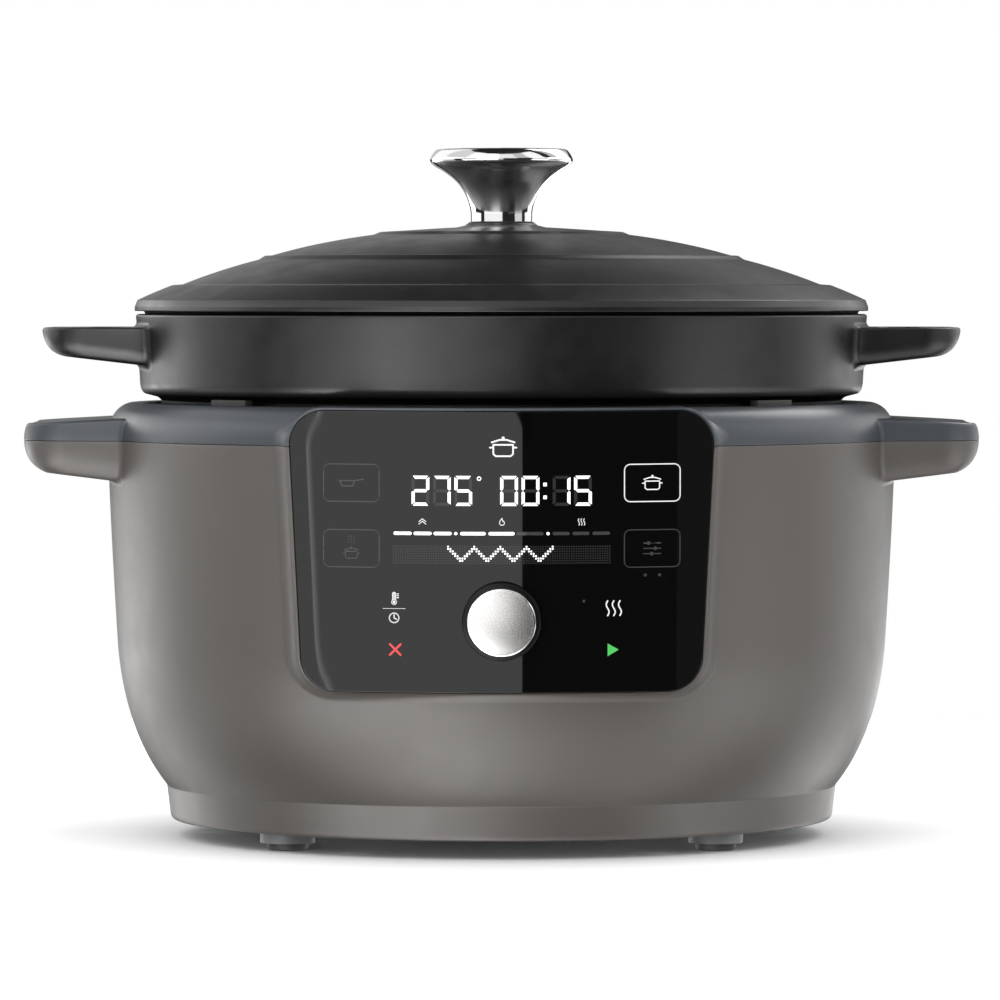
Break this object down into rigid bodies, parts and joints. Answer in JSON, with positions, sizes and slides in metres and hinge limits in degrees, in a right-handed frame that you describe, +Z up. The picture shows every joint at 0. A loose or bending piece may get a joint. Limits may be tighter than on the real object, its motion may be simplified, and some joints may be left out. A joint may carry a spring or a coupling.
{
  "type": "slow cooker",
  "caption": "Countertop electric slow cooker: round housing with side handles and a curved touch panel with a dial, a lift-out cast-iron pot with loop handles, and a domed lid.",
  "frame": {"origin": "on the table top under the middle of the object's box", "axes": "+Z up, +X to the right-hand handle as the user faces the control panel, -Y towards the user, out of the control panel"},
  "size_m": [0.3744, 0.3242, 0.271],
  "materials": {
    "housing_plastic": "satin taupe-grey moulding",
    "ring_plastic": "satin blue-grey moulding",
    "enamelled_iron": "matte charcoal enamel",
    "chrome": "polished",
    "rubber": "matte black",
    "cover_plastic": "fine texture",
    "steel": "zinc plated",
    "liner_metal": "satin sheet",
    "cast_aluminium": "as cast, turned top",
    "ceramic": "unglazed",
    "black_glass": "polished, back-printed black",
    "black_plastic": "fine texture",
    "dial_metal": "satin turned face",
    "circuit_board": "solder mask",
    "copper": "bright",
    "lead_sleeve": "woven heat-proof sleeve",
    "print_white": "lit or printed white marks behind the glass",
    "print_red": "lit red mark behind the glass",
    "print_green": "lit green mark behind the glass"
  },
  "bodies": {
    "base": {"housing": "housing_plastic", "top_ring": "ring_plastic", "pot_rest_pads": "rubber", "bottom_cover": "cover_plastic", "foot_pads": "rubber", "cover_screws": "steel", "ring_screws": "steel", "liner_screws": "steel", "inner_liner": "liner_metal", "heating_plate": "cast_aluminium", "heating_element": "steel", "element_bushings": "ceramic", "plate_spacers": "ceramic", "shield_spacers": "steel", "plate_screws": "steel", "heat_shield": "liner_metal", "thermal_fuse": "ceramic", "sensor_guide": "black_plastic", "control_glass": "black_glass", "panel_frame": "black_plastic", "display_module": "black_plastic", "control_board": "circuit_board", "controller_chip": "black_plastic", "touch_pads": "rubber", "buzzer": "black_plastic", "board_screws": "steel", "encoder_body": "black_plastic", "power_board": "circuit_board", "relay": "black_plastic", "transformer": "copper", "capacitors": "black_plastic", "power_board_screws": "steel", "power_inlet": "black_plastic", "inlet_pins": "copper", "inlet_screws": "steel", "heater_leads": "lead_sleeve", "inlet_leads": "lead_sleeve", "panel_ribbon": "lead_sleeve"},
    "pot": {"pot": "enamelled_iron"},
    "lid": {"lid": "enamelled_iron", "lid_knob": "chrome", "knob_washer": "rubber", "knob_screw": "steel"},
    "sensor": {"sensor_plunger": "cast_aluminium", "sensor_spring": "steel"},
    "encoder_slider": {"encoder_slider": "black_plastic"},
    "dial": {"encoder_shaft": "steel", "dial_skirt": "black_plastic", "dial_cap": "dial_metal"}
  },
  "joints": [
    {"name": "pot_lift", "type": "slide", "parent": "base", "child": "pot", "axis": [0, 0, 1], "range_m": [0, 0.15]},
    {"name": "lid_lift", "type": "slide", "parent": "pot", "child": "lid", "axis": [0, 0, 1], "range_m": [0, 0.12]},
    {"name": "sensor_press", "type": "slide", "parent": "base", "child": "sensor", "axis": [0, 0, -1], "range_m": [0, 0.002], "stiffness_N_per_m": 500, "springref_m": -0.002, "deforming": ["sensor_spring"]},
    {"name": "dial_press", "type": "slide", "parent": "base", "child": "encoder_slider", "axis": [0, 0.999, 0.0454], "range_m": [0, 0.0008], "stiffness_N_per_m": 3000, "springref_m": -0.0004},
    {"name": "dial_turn", "type": "hinge", "parent": "encoder_slider", "child": "dial", "pos_m": [0, -0.1535, 0.0914], "axis": [0, -0.999, -0.0454], "continuous": true}
  ]
}
